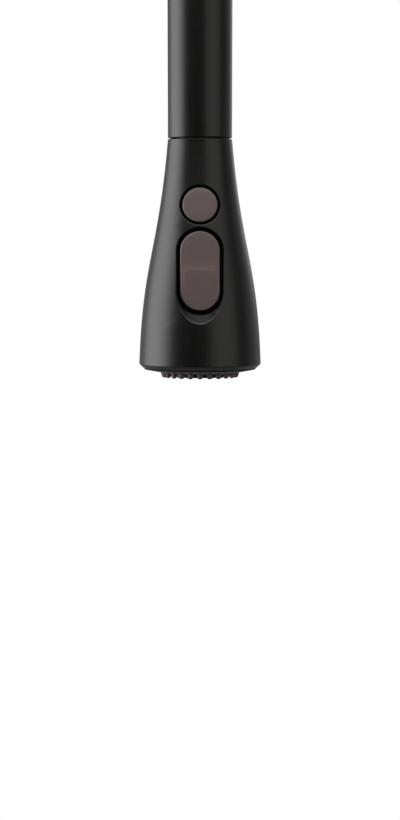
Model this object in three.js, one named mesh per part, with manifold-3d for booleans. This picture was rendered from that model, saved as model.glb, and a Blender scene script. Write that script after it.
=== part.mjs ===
// A single-lever kitchen faucet with a high gooseneck spout and a spray head that pulls down out of it on a hose.
// Millimetres, +Z up. The origin is the centre of the faucet's foot, on top of the worktop.
// The spout reaches towards -X. The lever and the spray head's two buttons face -Y.
import * as THREE from "three";
import { mergeVertices } from "three/addons/utils/BufferGeometryUtils.js";
import Module from "manifold-3d";

const wasm = await Module();
wasm.setup();

// ---------------------------------------------------------------- driving dimensions

const GAP = 0.35; // between neighbouring pieces
const TUBE_R = 14.2; // spout tube, outside
const TUBE_BORE_R = 12.8;
const ARC_R = 108; // centreline of the gooseneck's half circle
const HEAD_X = -2 * ARC_R; // axis of the spray head
const SEAM_Z = 276; // the spout's mouth, where the docked head meets it
const LEG = 66; // straight stretch of the spout above its mouth
const ARC_Z = SEAM_Z + LEG;
const SPOUT_FOOT_Z = 104; // lower end of the spout tube, inside the body

const BODY_FOOT_Z = 8.35;
const BODY_TOP_Z = 150;
const BODY_FOOT_R = 27;
const BODY_TOP_R = 18.4;
const SPOUT_SOCKET_R = 16.4; // bore in the body that holds the spout's bushes
const SPOUT_SOCKET_Z = 96;
const SHOULDER_Z = 50; // where the cavity narrows below the valve
const CAVITY_R = 16;

const VALVE_Z = 72; // axis of the valve, which points along -Y
const BOSS_R = 20.6;
const BOSS_BORE_R = 18.2;
const BOSS_FLOOR = 14.8; // distances along the valve's axis are measured from the faucet's own axis
const PIVOT = 32.5; // the lever tilts about this point of the valve's axis
const DOME_R = 24; // sphere about the pivot
const BOSS_END = PIVOT + Math.sqrt(DOME_R ** 2 - BOSS_R ** 2);

const SHANK_R = 17;
const SHANK_BORE_R = 15.2;
const DECK_THICKNESS = 30; // the worktop that the clamp is drawn on
const HOSE_R = 6.2;
const HOSE_SHANK_Y = 7; // the hose runs down the shank off its axis, beside the copper tubes
const PIPE_R = 3.8;
const INLET_PIPE = { x: 10, y: -4.6, end: -108 };
const OUTLET_PIPE = { x: 0, y: -11, end: -84 };

const HEAD_LENGTH = 99; // from the seam to the shell's lower rim
const HEAD_TOP_R = 14.04;
const HEAD_RIM_R = 26.84;
const SHELL_WALL = 2.2;
const CHAMFER = 1.9;
const ROUND = { depth: 31.9, r: 7.5, hole: 8.7, tilt: THREE.MathUtils.degToRad(8.6) };
const ROCKER = { depth: 58, halfWidth: 8.5, halfLength: 17.4, hole: 10.2, holeLength: 19.1, pivotY: 15.2 };
const ROCKER_TILT = THREE.MathUtils.degToRad(3.3);
const LEDGE_START = 21.3; // the pocket's lower wall slopes at 45 degrees outside this distance from the axis
const NOZZLE_ROWS = [
  { r: 16, count: 24 },
  { r: 12.4, count: 16 },
  { r: 8.9, count: 8 },
];
const NOZZLE_TIP = 104.9;

// ---------------------------------------------------------------- materials

const paint = (color, roughness, metalness) => new THREE.MeshStandardMaterial({ color, roughness, metalness });
const MATTE_BLACK = paint(0x1d1c1b, 0.45, 0.6);
const TAUPE = paint(0x574b4a, 0.55, 0);
const BLACK_PLASTIC = paint(0x141414, 0.5, 0);
const RUBBER = paint(0x202020, 0.9, 0);
const BRASS = paint(0xb08d4a, 0.35, 1);
const COPPER = paint(0xb87349, 0.35, 1);
const STEEL = paint(0xa8abad, 0.35, 1);
const WHITE_PLASTIC = paint(0xe4e2dc, 0.5, 0);
const CERAMIC = paint(0xf2f0ea, 0.2, 0);
const BRAID = paint(0x6c6e70, 0.7, 0);

// ---------------------------------------------------------------- solids

// A closed BufferGeometry as a manifold-3d solid, its faces turned outwards.
function toSolid(geometry) {
  const bare = (geometry.index ? geometry.toNonIndexed() : geometry.clone()).deleteAttribute("normal");
  bare.deleteAttribute("uv");
  const merged = mergeVertices(bare, 1e-4);
  const build = (triVerts) =>
    new wasm.Manifold(new wasm.Mesh({ numProp: 3, vertProperties: merged.attributes.position.array, triVerts }));
  const triVerts = new Uint32Array(merged.index.array);
  const solid = build(triVerts);
  return solid.volume() > 0 ? solid : build(triVerts.map((_, i) => triVerts[i - (i % 3) + 2 - (i % 3)]));
}

function toGeometry(solid) {
  const { vertProperties, triVerts } = solid.getMesh();
  const geometry = new THREE.BufferGeometry();
  geometry.setAttribute("position", new THREE.BufferAttribute(vertProperties, 3));
  geometry.setIndex(new THREE.BufferAttribute(triVerts, 1));
  return geometry;
}

// Solid of revolution about Z. Its outline is a list of [radius, height], which closes on itself or on the axis.
function turned(outline, segments = 20) {
  const points = outline.map(([r, z]) => new THREE.Vector2(r, z));
  const touchesAxis = outline[0][0] === 0 && outline.at(-1)[0] === 0;
  if (!touchesAxis) points.push(points[0].clone());
  return toSolid(new THREE.LatheGeometry(points, segments).rotateX(Math.PI / 2));
}

const ring = (inner, outer, low, high, segments) =>
  turned([[inner, low], [outer, low], [outer, high], [inner, high]], segments);

const rod = (r, low, high, segments = 12) => turned([[0, low], [r, low], [r, high], [0, high]], segments);

const block = (x, y, z) => toSolid(new THREE.BoxGeometry(x, y, z));

// A flat outline in X and Z, pushed along -Y from one distance to another.
function prism(shape, from, to, curveSegments = 5) {
  const geometry = new THREE.ExtrudeGeometry(shape, { depth: to - from, bevelEnabled: false, curveSegments });
  return toSolid(geometry.rotateX(Math.PI / 2)).translate([0, -from, 0]);
}

// A slot outline with round ends, its long side upright.
function stadium(halfWidth, halfLength) {
  const straight = halfLength - halfWidth;
  const shape = new THREE.Shape();
  shape.absarc(0, straight, halfWidth, 0, Math.PI);
  shape.absarc(0, -straight, halfWidth, Math.PI, 2 * Math.PI);
  return shape;
}

// Points of an arc in the outline plane, about [cr, cz], from one angle to another.
function arcPoints(cr, cz, radius, from, to, steps) {
  return Array.from({ length: steps + 1 }, (_, i) => {
    const a = from + ((to - from) * i) / steps;
    return [cr + radius * Math.cos(a), cz + radius * Math.sin(a)];
  });
}

// A round section carried along a curve, hollow if it has a bore.
function swept(curve, radius, bore, steps, sides) {
  const section = new THREE.Shape().absarc(0, 0, radius, 0, 2 * Math.PI);
  if (bore) section.holes.push(new THREE.Path().absarc(0, 0, bore, 0, 2 * Math.PI, true));
  const options = { steps, extrudePath: curve, curveSegments: sides / 2, bevelEnabled: false };
  return toSolid(new THREE.ExtrudeGeometry(section, options));
}

function helix(radius, low, high, turns, wire) {
  class Coil extends THREE.Curve {
    getPoint(t, target = new THREE.Vector3()) {
      const a = 2 * Math.PI * turns * t;
      return target.set(radius * Math.cos(a), radius * Math.sin(a), low + (high - low) * t);
    }
  }
  return swept(new Coil(), wire, 0, Math.round(turns * 10), 4);
}

// The outline shared by the spray head and the faucet's body: a bell that flares from its slim end.
// It is a cubic curve in (distance from the slim end, radius), here as shares of the length and of the flare.
const BELL = new THREE.CubicBezierCurve(
  new THREE.Vector2(0, 0),
  new THREE.Vector2(0.51, 0.338),
  new THREE.Vector2(0.535, 0.881),
  new THREE.Vector2(1, 1),
);

// Points of the bell from its slim end to its wide end, as [radius, distance], moved inwards by a wall.
function bellOutline(slim, wide, length, steps, wall = 0) {
  return BELL.getPoints(steps).map((p) => [slim + (wide - slim) * p.y - wall, length * p.x]);
}

// ---------------------------------------------------------------- groups

const faucet = new THREE.Group();
const valve = new THREE.Group(); // local +Z is the valve's axis, out of the body
valve.position.set(0, 0, VALVE_Z);
valve.rotation.x = Math.PI / 2;
const head = new THREE.Group(); // local Z is height, measured from the seam
head.position.set(HEAD_X, 0, SEAM_Z);
faucet.add(valve, head);

function add(group, name, solid, material) {
  const mesh = new THREE.Mesh(toGeometry(solid), material);
  mesh.name = name;
  group.add(mesh);
  return mesh;
}

// ---------------------------------------------------------------- foot, body and worktop clamp

function makeBody() {
  const length = BODY_TOP_Z - BODY_FOOT_Z;
  const outside = bellOutline(BODY_TOP_R, BODY_FOOT_R, length, 8).map(([r, d]) => [r, BODY_TOP_Z - d]);
  const shellOfBody = turned([[0, BODY_TOP_Z], ...outside, [0, BODY_FOOT_Z]], 26);
  const boss = rod(BOSS_R, 6, BOSS_END - GAP, 26).rotate([90, 0, 0]).translate([0, 0, VALVE_Z]);
  const cavity = turned([
    [0, BODY_FOOT_Z - 1], [SHANK_R + GAP, BODY_FOOT_Z - 1], [SHANK_R + GAP, 21], [CAVITY_R, 21],
    [CAVITY_R, SHOULDER_Z], [0, SHOULDER_Z],
  ], 20);
  const spoutSocket = rod(SPOUT_SOCKET_R, SPOUT_SOCKET_Z, BODY_TOP_Z + 1, 20);
  const hoseWay = [0, 6].map((y) => rod(8, SHOULDER_Z - 1, SPOUT_SOCKET_Z + 1, 14).translate([0, y, 0]));
  const valveBore = rod(BOSS_BORE_R, BOSS_FLOOR, 60, 22).rotate([90, 0, 0]).translate([0, 0, VALVE_Z]);
  // Each waterway rises from its pipe and turns outwards into the floor of the valve's bore.
  const waterways = [
    { x: -INLET_PIPE.x, y: INLET_PIPE.y, z: VALVE_Z - 3 },
    { x: INLET_PIPE.x, y: INLET_PIPE.y, z: VALVE_Z - 3 },
    { x: OUTLET_PIPE.x, y: OUTLET_PIPE.y, z: VALVE_Z - 9 },
  ].flatMap(({ x, y, z }) => [
    rod(2.2, SHOULDER_Z - 1, z + 2, 8).translate([x, y, 0]),
    rod(2.2, -y, BOSS_FLOOR + 1, 8).rotate([90, 0, 0]).translate([x, 0, z]),
  ]);
  const lockHole = rod(2.4, 10, 30).rotate([-90, 0, 0]).translate([0, 0, 118]);
  return [cavity, spoutSocket, ...hoseWay, valveBore, ...waterways, lockHole].reduce(
    (solid, cut) => solid.subtract(cut),
    shellOfBody.add(boss),
  );
}

function makeMountingNut() {
  const body = ring(SHANK_R + GAP, 26, -50, -38.5, 20);
  const wings = [-1, 1].map((side) => block(12, 9, 9).translate([side * 29.5, 0, -44.5]));
  const screwHoles = [-1, 1].map((side) => rod(2.4, -52, -36, 10).translate([0, side * 21.7, 0]));
  return body.add(wings[0]).add(wings[1]).subtract(screwHoles[0]).subtract(screwHoles[1]);
}

const mountingScrew = () => turned([[0, -58], [3.8, -58], [3.8, -54.5], [2, -54.5], [2, -35.4], [0, -35.4]], 10);

function makeFootParts() {
  add(faucet, "deck_gasket", ring(SHANK_R + 0.6, 25.5, 0, 1.6, 24), RUBBER);
  add(faucet, "base_ring", turned([
    [SHANK_R + 0.6, 1.95], [28.5, 1.95], [28.5, 5.6], [27.4, 8], [SHANK_R + 0.6, 8],
  ], 26), MATTE_BLACK);
  add(faucet, "faucet_body", makeBody(), MATTE_BLACK);
  add(faucet, "threaded_shank", ring(SHANK_BORE_R, SHANK_R, -62, 20.6, 24), BRASS);
  add(faucet, "under_deck_seal", ring(SHANK_R + 0.6, 27, -DECK_THICKNESS - 3, -DECK_THICKNESS, 20), RUBBER);
  add(faucet, "clamp_washer", ring(SHANK_R + 0.5, 27.5, -DECK_THICKNESS - 5, -DECK_THICKNESS - 3.35, 20), STEEL);
  add(faucet, "mounting_nut", makeMountingNut(), BLACK_PLASTIC);
  add(faucet, "mounting_screw_left", mountingScrew(), STEEL).position.set(0, 21.7, 0);
  add(faucet, "mounting_screw_right", mountingScrew(), STEEL).position.set(0, -21.7, 0);
}

// ---------------------------------------------------------------- copper pipes and the hose's lower run

// A brass end with a hexagon to hold it by and a thread below, open right through.
function makeAdapter(top) {
  const hexagon = ring(2.6, 7.6, top - 8, top, 6);
  const thread = ring(2.6, 6.6, top - 20, top - 7, 16);
  return hexagon.add(thread);
}

class HoseDrop extends THREE.Curve {
  // From the spout's axis the hose eases over to its place in the shank, then runs straight down.
  getPoint(t, target = new THREE.Vector3()) {
    const top = SPOUT_FOOT_Z - GAP;
    const bend = 44;
    const bottom = -72;
    const share = Math.min(1, t / 0.8);
    const z = t < 0.8 ? top + (bend - top) * share : bend + ((bottom - bend) * (t - 0.8)) / 0.2;
    return target.set(0, HOSE_SHANK_Y * share * share * (3 - 2 * share), z);
  }
  getUtoTmapping(u) {
    return u;
  }
}

function makePipes() {
  const pipe = (end) => ring(PIPE_R - 1, PIPE_R, end, SHOULDER_Z - GAP, 12);
  for (const [side, name] of [[-1, "hot"], [1, "cold"]]) {
    const { x, y, end } = INLET_PIPE;
    add(faucet, `${name}_inlet_tube`, pipe(end), COPPER).position.set(side * x, y, 0);
    add(faucet, `${name}_inlet_adapter`, makeAdapter(end - GAP), BRASS).position.set(side * x, y, 0);
  }
  add(faucet, "outlet_tube", pipe(OUTLET_PIPE.end), COPPER).position.set(OUTLET_PIPE.x, OUTLET_PIPE.y, 0);
  const coupling = turned([
    [2.4, -100], [5, -100], [5, -97], [6.2, -96], [6.2, OUTLET_PIPE.end - GAP], [2.4, OUTLET_PIPE.end - GAP],
  ], 14);
  add(faucet, "outlet_coupling", coupling, BRASS).position.set(OUTLET_PIPE.x, OUTLET_PIPE.y, 0);
  add(faucet, "hose_in_body", swept(new HoseDrop(), HOSE_R, 0, 10, 12), BRAID);
  const fitting = turned([
    [0, -94], [4.2, -94], [4.2, -86], [6, -85], [6, -81], [7.4, -80], [7.4, -72 - GAP], [0, -72 - GAP],
  ], 16);
  add(faucet, "hose_end_fitting", fitting, BRASS).position.y = HOSE_SHANK_Y;
}

// ---------------------------------------------------------------- valve cartridge and lever

function makeCartridge() {
  const ports = [[-10, -3], [10, -3], [0, -9]]; // in the valve group, +Y is up
  const drill = (solid, r) =>
    ports.reduce((left, [x, y]) => left.subtract(rod(r, 0, 60, 8).translate([x, y, 0])), solid);
  add(valve, "cartridge_seal", drill(rod(16.6, 15.15, 16.3, 18), 3.2), RUBBER);
  const housing = turned([
    [0, 16.65], [17.5, 16.65], [17.5, 40], [9, 40], [9, 37], [15.8, 37], [15.8, 19], [0, 19],
  ], 20);
  add(valve, "cartridge_housing", drill(housing, 2.6), WHITE_PLASTIC);
  add(valve, "fixed_ceramic_disc", drill(rod(15.2, 19.35, 22.35, 18), 2.6), CERAMIC);
  const pocket = rod(3.8, 26, 30, 12);
  const mixingHollow = turned([[0, 22], [8, 22], [8, 24], [0, 24]], 12);
  add(valve, "moving_ceramic_disc", rod(12.5, 22.7, 28.4, 18).subtract(pocket).subtract(mixingHollow), CERAMIC);
  const slot = block(7.2, 12.4, 20).translate([0, 0, PIVOT]);
  const pinHole = rod(1.6, -20, 20, 8).rotate([0, 90, 0]).translate([0, 0, PIVOT]);
  add(valve, "disc_carrier", rod(15.2, 29, 36.6, 20).subtract(slot).subtract(pinHole), WHITE_PLASTIC);
  add(valve, "stem_pin", rod(1.2, -14.5, 14.5, 8).rotate([0, 90, 0]).translate([0, 0, PIVOT]), STEEL);
  const stem = turned([[0, 26.3], [1.6, 26.3], [2.3, 27], [2.3, 28.4], [3, 29], [3, 61], [0, 61]], 12);
  add(valve, "cartridge_stem", stem.subtract(pinHole), BRASS);
  add(valve, "bonnet_nut", turned([
    [11.2, 40.35], [17.85, 40.35], [17.85, 44.5], [13.2, 45.2], [13.2, 49.6], [11.2, 49.6],
  ], 18), BRASS);
}

function makeLever() {
  const opening = Math.asin(12 / DOME_R); // half angle of the dome's mouth, seen from the pivot
  const rim = Math.asin(BOSS_R / DOME_R);
  const domeWall = 1.4;
  const dome = turned([
    ...arcPoints(0, PIVOT, DOME_R, Math.PI / 2 - rim, Math.PI / 2 - opening, 5),
    ...arcPoints(0, PIVOT, DOME_R - domeWall, Math.PI / 2 - opening, Math.PI / 2 - rim + 0.08, 4),
  ], 24);
  add(valve, "bonnet_dome", dome, MATTE_BLACK);
  const cupR = DOME_R + 0.5;
  const hubR = 19.6;
  const cupRim = Math.acos(19 / cupR);
  const hub = turned([
    [0, 61.3], [3.4, 61.3],
    ...arcPoints(0, PIVOT, cupR, Math.acos(3.4 / cupR), cupRim, 5),
    [hubR, PIVOT + cupR * Math.sin(cupRim) + 0.8], [hubR, 63], [18.2, 64.5], [0, 64.5],
  ], 24);
  const spigotHole = rod(3.25, 12.5, 30, 12).rotate([-90, 0, 0]).translate([0, 0, 58.5]);
  const screwHole = rod(1.9, 1, 30, 8).rotate([90, 0, 0]).translate([0, 0, 59]);
  add(valve, "handle_hub", hub.subtract(spigotHole).subtract(screwHole), MATTE_BLACK);
  const tip = arcPoints(0, 100, 5.2, 0, Math.PI / 2, 4).slice(0, -1);
  const bar = turned([
    [0, 12.9], [2.9, 12.9], [2.9, 20], [4.4, 20], [4.9, 24], [4.5, 60], ...tip, [0, 105.2],
  ], 14);
  add(valve, "handle_lever", bar.rotate([-90, 0, 0]).translate([0, 0, 58.5]), MATTE_BLACK);
  const grub = rod(1.5, 3.4, 10, 8).rotate([90, 0, 0]).translate([0, 0, 59]);
  add(valve, "handle_set_screw", grub, STEEL);
}

// ---------------------------------------------------------------- spout

class Gooseneck extends THREE.Curve {
  // Straight up out of the body, a half circle over to the head's axis, and straight down to the mouth.
  // The straights take the first and the last share of the curve's parameter, so they cost few steps.
  constructor(start, end, straightShare) {
    super();
    Object.assign(this, { start, end, straightShare });
  }
  getPoint(t, target = new THREE.Vector3()) {
    const { start, end, straightShare: s } = this;
    if (t < s) return target.set(0, 0, start + (ARC_Z - start) * (t / s));
    if (t > 1 - s) return target.set(HEAD_X, 0, ARC_Z + (end - ARC_Z) * ((t - 1 + s) / s));
    const a = (Math.PI * (t - s)) / (1 - 2 * s);
    return target.set(-ARC_R + ARC_R * Math.cos(a), 0, ARC_Z + ARC_R * Math.sin(a));
  }
  getUtoTmapping(u) {
    return u;
  }
}

function makeSpout() {
  const steps = 20;
  const tube = swept(new Gooseneck(SPOUT_FOOT_Z, SEAM_Z, 1 / steps), TUBE_R, TUBE_BORE_R, steps, 20);
  add(faucet, "spout_tube", tube, MATTE_BLACK);
  add(faucet, "spout_collar", turned([
    [TUBE_R + GAP, BODY_TOP_Z + 0.4], [18.2, BODY_TOP_Z + 0.4], [18.2, 153], [17, 156.5], [15.4, 158],
    [TUBE_R + GAP, 158],
  ], 24), MATTE_BLACK);
  const bush = (low) => ring(TUBE_R + GAP, SPOUT_SOCKET_R - GAP, low, low + 7.5, 20);
  add(faucet, "spout_bush_lower", bush(104.5), WHITE_PLASTIC);
  add(faucet, "spout_bush_upper", bush(140), WHITE_PLASTIC);
  const frictionRing = turned(arcPoints(15.3, 129, 0.72, 0, 2 * Math.PI, 5).slice(0, 5), 20);
  add(faucet, "spout_friction_ring", frictionRing, RUBBER);
  add(faucet, "spout_lock_screw", rod(2, 15, 18.8, 10).rotate([-90, 0, 0]).translate([0, 0, 118]), STEEL);
  const hoseTop = SEAM_Z + 60 + GAP;
  add(faucet, "hose_in_spout", swept(new Gooseneck(SPOUT_FOOT_Z, hoseTop, 1 / 16), HOSE_R, 0, 16, 10), BRAID);
  add(head, "dock_sleeve", turned([
    [11.6, 1.6], [12.4, 1.6], [12.4, 14.3], [10.9, 14.3], [10.9, 3],
  ], 20), BLACK_PLASTIC);
  add(head, "dock_magnet", ring(8.8, 12.4, 14.8, 20, 20), STEEL);
}

// ---------------------------------------------------------------- hose end

function makeHoseEnd() {
  add(head, "hose_lead", rod(HOSE_R, -4.6, 60, 12), BRAID);
  add(head, "hose_ferrule", turned([
    [6.55, -5], [7.9, -5], [7.9, 14], [7.4, 17], [6.55, 17],
  ], 16), STEEL);
  add(head, "hose_swivel_nut", turned([
    [4.4, -17], [7.9, -17], [7.9, -8], [6.6, -7.2], [6.6, -5.4], [4.4, -5.4],
  ], 16), BRASS);
}

// ---------------------------------------------------------------- spray head

// Depths in this section run down from the seam, so heights are their negatives.
const down = (outline) => outline.map(([r, d]) => [r, -d]);

function makeShell() {
  const skin = bellOutline(HEAD_TOP_R, HEAD_RIM_R, HEAD_LENGTH, 9);
  const chamfer = [HEAD_RIM_R - CHAMFER, HEAD_LENGTH + CHAMFER];
  const top = 0.45;
  const outline = [[skin[0][0] - 0.3, top], [skin[0][0] + 0.1, top + 0.4], ...skin.slice(1), chamfer];
  const outside = turned(down([[0, top], ...outline, [0, chamfer[1]]]), 28);
  const lining = bellOutline(HEAD_TOP_R, HEAD_RIM_R, HEAD_LENGTH, 5, SHELL_WALL).slice(1, -1);
  const inside = turned(down([
    [0, 4.2], [12.5, 4.2], ...lining, [23.4, 92], [23.4, 102], [0, 102],
  ]), 20);
  const lip = rod(10.9, -10, 2, 24);

  // Both buttons sit in short sleeves that run in from the shell's skin.
  const sleeveFrom = 12;
  const far = 40;
  const upright = (shape, from, to, depth) => prism(shape, from, to).translate([0, 0, -depth]);
  const pocket = upright(stadium(ROCKER.hole, ROCKER.holeLength), 5, far, ROCKER.depth);
  const sleeve = upright(stadium(ROCKER.hole + 1.4, ROCKER.holeLength + 1.4), sleeveFrom, far, ROCKER.depth);
  const leaning = (solid) =>
    solid.rotate([90, 0, 0]).rotate([-THREE.MathUtils.radToDeg(ROUND.tilt), 0, 0]).translate([0, 0, -ROUND.depth]);
  const roundSleeve = leaning(rod(ROUND.hole + 1.3, sleeveFrom + 1, far, 18));
  const roundPocket = leaning(rod(ROUND.hole, 5, far, 18));

  // The ledge under the long button: the pocket's own outline, sinking as it comes forward.
  const ledge = prism(stadium(ROCKER.hole, ROCKER.holeLength), 0, 12)
    .warp((v) => {
      v[2] += v[1];
    })
    .translate([0, -LEDGE_START, -ROCKER.depth]);

  const sleeves = outside.intersect(sleeve.add(roundSleeve));
  return outside.subtract(inside).subtract(lip).add(sleeves).subtract(pocket).subtract(roundPocket).subtract(ledge);
}

function makeSwitchPlate() {
  const front = 10.8;
  const back = 8.4;
  const outline = new THREE.Shape(
    [[-7.4, -21.4], [7.4, -21.4], [9.4, -30], [11.4, -42], [11.4, -81], [-11.4, -81], [-11.4, -42], [-9.4, -30]]
      .map(([x, z]) => new THREE.Vector2(x, z)),
  );
  const plate = prism(outline, back, front);
  const ears = [-1, 1].map((side) => block(2.2, 7, 6).translate([side * 6.2, -front - 3, -ROCKER.depth]));
  const pinHole = rod(1.55, -12, 12, 8).rotate([0, 90, 0]).translate([0, -ROCKER.pivotY, -ROCKER.depth]);
  const window = block(7, 12, 9).translate([0, -10, -ROCKER.depth]);
  const stemHole = rod(3.1, 5, 16, 10).rotate([90, 0, 0]).translate([0, 0, -ROUND.depth + 1.5]);
  return plate.add(ears[0]).add(ears[1]).subtract(pinHole).subtract(window).subtract(stemHole);
}

function makeRocker() {
  const face = 20.8;
  const back = 17.8;
  const pad = prism(stadium(ROCKER.halfWidth, ROCKER.halfLength), back, face)
    .rotate([THREE.MathUtils.radToDeg(-ROCKER_TILT), 0, 0])
    .translate([0, 0, -ROCKER.depth - face * Math.sin(ROCKER_TILT)]);
  const ridge = block(15, 1.2, 2.2).translate([0, -face - 0.1, -ROCKER.depth + 0.6]);
  const lug = block(7.6, 6, 5.6).translate([0, -16, -ROCKER.depth]);
  const arm = block(3.2, 13.6, 2.2).translate([0, -9.2, -ROCKER.depth]);
  const pinHole = rod(1.6, -12, 12, 8).rotate([0, 90, 0]).translate([0, -ROCKER.pivotY, -ROCKER.depth]);
  return pad.add(ridge).add(lug).add(arm).subtract(pinHole);
}

// The round button, drawn along its own axis: a cup with its stem inside.
const makeRoundButton = () => turned([
  [0, 10.6], [2, 10.6], [2, 16], [5.3, 16], [5.3, 13.9], [ROUND.r, 13.9], [ROUND.r, 17.5], [ROUND.r - 0.5, 18],
  [0, 18],
], 20);

// Every nozzle place, as [x, y] from the head's axis. The first of each row is at the front.
function nozzlePlaces() {
  return NOZZLE_ROWS.flatMap(({ r, count }) =>
    Array.from({ length: count }, (_, i) => {
      const a = -Math.PI / 2 + (2 * Math.PI * i) / count;
      return [r * Math.cos(a), r * Math.sin(a)];
    }),
  );
}

function makeSprayFace() {
  add(head, "face_ring", turned(down([
    [17.5, 102.7], [24.6, 101.35], [24.6, 101.2], [23, 101.2], [23, 95.5], [17.5, 95.5],
  ]), 28), BLACK_PLASTIC);
  const holes = wasm.Manifold.union(nozzlePlaces().map(([x, y]) => rod(1.7, -110, -90, 4).translate([x, y, 0])));
  add(head, "spray_plate", turned(down([
    [6.4, 100.3], [17.15, 100.3], [17.15, 102.4], [14.3, 102.4], [13.9, 104.6], [6.4, 104.6],
  ]), 24).subtract(holes), BLACK_PLASTIC);
  // The outer row's nozzles widen below the plate. The inner ones end just proud of its raised middle.
  const innerNub = turned(down([[0, 99.5], [1.05, 99.5], [0.62, NOZZLE_TIP], [0, NOZZLE_TIP]]), 5);
  const outerNub = turned(down([
    [0, 99.5], [1.05, 99.5], [1.05, 102.6], [1.35, 102.8], [0.8, NOZZLE_TIP], [0, NOZZLE_TIP],
  ]), 6);
  const nubs = wasm.Manifold.union(
    nozzlePlaces().map(([x, y], i) => (i < NOZZLE_ROWS[0].count ? outerNub : innerNub).translate([x, y, 0])),
  );
  add(head, "nozzle_mat", ring(6.4, 17.1, -99.95, -98.3, 24).add(nubs), TAUPE);
  add(head, "aerator_insert", turned(down([
    [0, 99], [6.05, 99], [6.05, 103.4], [5.2, 103.4], [5.2, 102], [0, 102],
  ]), 20), BLACK_PLASTIC);
  add(head, "face_seal", ring(14.4, 17.1, -97.95, -96.6, 20), RUBBER);
}

function makeSprayHead() {
  add(head, "head_shell", makeShell(), MATTE_BLACK);
  add(head, "head_neck", turned([
    [8.3, 12.6], [10.5, 12.6], [10.5, -4.55], [12.1, -4.55], [12.1, -8], [10.8, -8], [10.8, -21], [4.4, -21],
    [4.4, -18.6], [8.3, -18.6],
  ], 20), BLACK_PLASTIC);
  add(head, "dock_keeper", ring(8.4, 10.4, 12.95, 14, 18), STEEL);
  add(head, "inlet_seal", ring(4.6, 8, -18.25, -17.35, 16), RUBBER);
  const window = block(6.4, 8, 8.4).translate([0, -6.6, -ROCKER.depth]);
  const core = turned(down([
    [4.4, 21.4], [8, 21.4], [8, 84], [16.8, 86], [16.8, 96.3], [14.4, 96.3], [14.4, 88], [3.7, 88], [3.7, 42],
    [1.5, 42], [1.5, 40], [5.6, 40], [5.6, 27.4], [3.2, 27.4], [3.2, 25.2], [4.4, 25.2],
  ]), 18);
  add(head, "valve_core", core.subtract(window), BLACK_PLASTIC);
  add(head, "inlet_filter", ring(0.8, 4.05, -24.8, -23.6, 16), STEEL);
  add(head, "check_poppet", turned(down([
    [0, 27.8], [4.6, 27.8], [4.6, 29.4], [1.3, 29.4], [1.3, 36], [0, 36],
  ]), 12), WHITE_PLASTIC);
  add(head, "check_spring", helix(3, -39.2, -30.3, 3.5, 0.45), STEEL);
  add(head, "switch_plate", makeSwitchPlate(), BLACK_PLASTIC);
  add(head, "rocker_pin", rod(1.2, -7.3, 7.3, 8).rotate([0, 90, 0])
    .translate([0, -ROCKER.pivotY, -ROCKER.depth]), STEEL);
  add(head, "rocker_button", makeRocker(), TAUPE);
  add(head, "diverter_spool", turned(down([
    [0, 46], [3.3, 46], [3.3, 56.4], [1.9, 56.4], [1.9, 59.6], [3.3, 59.6], [3.3, 72], [0, 72],
  ]), 12), WHITE_PLASTIC);

  const lean = new THREE.Group(); // local +Z is the round button's axis, out of the head
  lean.position.z = -ROUND.depth;
  lean.rotation.x = Math.PI / 2 - ROUND.tilt;
  head.add(lean);
  add(lean, "round_button", makeRoundButton(), TAUPE);
  add(lean, "button_spring", helix(3.9, 12.3, 13.7, 1.5, 0.4), STEEL);
  makeSprayFace();
}

makeFootParts();
makePipes();
makeCartridge();
makeLever();
makeSpout();
makeHoseEnd();
makeSprayHead();

export default faucet;
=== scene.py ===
"""A matte black kitchen faucet with a gooseneck spout, pull-down spray head and single lever."""
import math

import bmesh
import bpy
import numpy as np
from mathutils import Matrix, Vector


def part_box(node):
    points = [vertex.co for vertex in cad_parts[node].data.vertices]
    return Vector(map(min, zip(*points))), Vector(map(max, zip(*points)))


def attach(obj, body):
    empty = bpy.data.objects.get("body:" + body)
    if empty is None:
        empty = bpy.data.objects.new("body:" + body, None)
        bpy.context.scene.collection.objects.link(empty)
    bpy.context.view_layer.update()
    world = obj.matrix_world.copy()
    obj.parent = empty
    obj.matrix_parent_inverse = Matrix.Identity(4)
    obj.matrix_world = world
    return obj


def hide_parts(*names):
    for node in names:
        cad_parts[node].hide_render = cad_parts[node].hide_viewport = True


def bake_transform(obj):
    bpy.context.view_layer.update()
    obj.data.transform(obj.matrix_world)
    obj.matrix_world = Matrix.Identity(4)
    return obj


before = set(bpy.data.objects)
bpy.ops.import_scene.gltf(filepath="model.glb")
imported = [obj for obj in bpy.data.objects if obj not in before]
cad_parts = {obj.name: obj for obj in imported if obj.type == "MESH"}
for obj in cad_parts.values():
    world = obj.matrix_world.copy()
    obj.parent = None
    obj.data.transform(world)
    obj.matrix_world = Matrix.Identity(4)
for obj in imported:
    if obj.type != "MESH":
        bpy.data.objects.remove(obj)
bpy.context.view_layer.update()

# ---------------------------------------------------------------- studio
# The faucet is shown on white, square on to the spray head's buttons and from a little above. The head's
# axis and the seam where the head meets the spout place the camera and the lights.
MM = 0.001
SEAM_GAP = 0.45
shell_low, shell_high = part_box("head_shell")
HEAD_X = (shell_low.x + shell_high.x) / 2 / MM
SEAM_Z = shell_high.z / MM + SEAM_GAP
CAMERA_DISTANCE = 936.0
CAMERA_BELOW_SEAM = 40.4
CAMERA_PITCH = math.radians(4.84)
LIT_BELOW_SEAM = 50.0
LIGHT_FROM_FRONT, LIGHT_FROM_BACK = 0.02, 0.34
FLOOR_X, FLOOR_Z = -100.0, -310.0
FLOOR_SOLID, FLOOR_RADIUS = 250.0, 800.0

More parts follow.
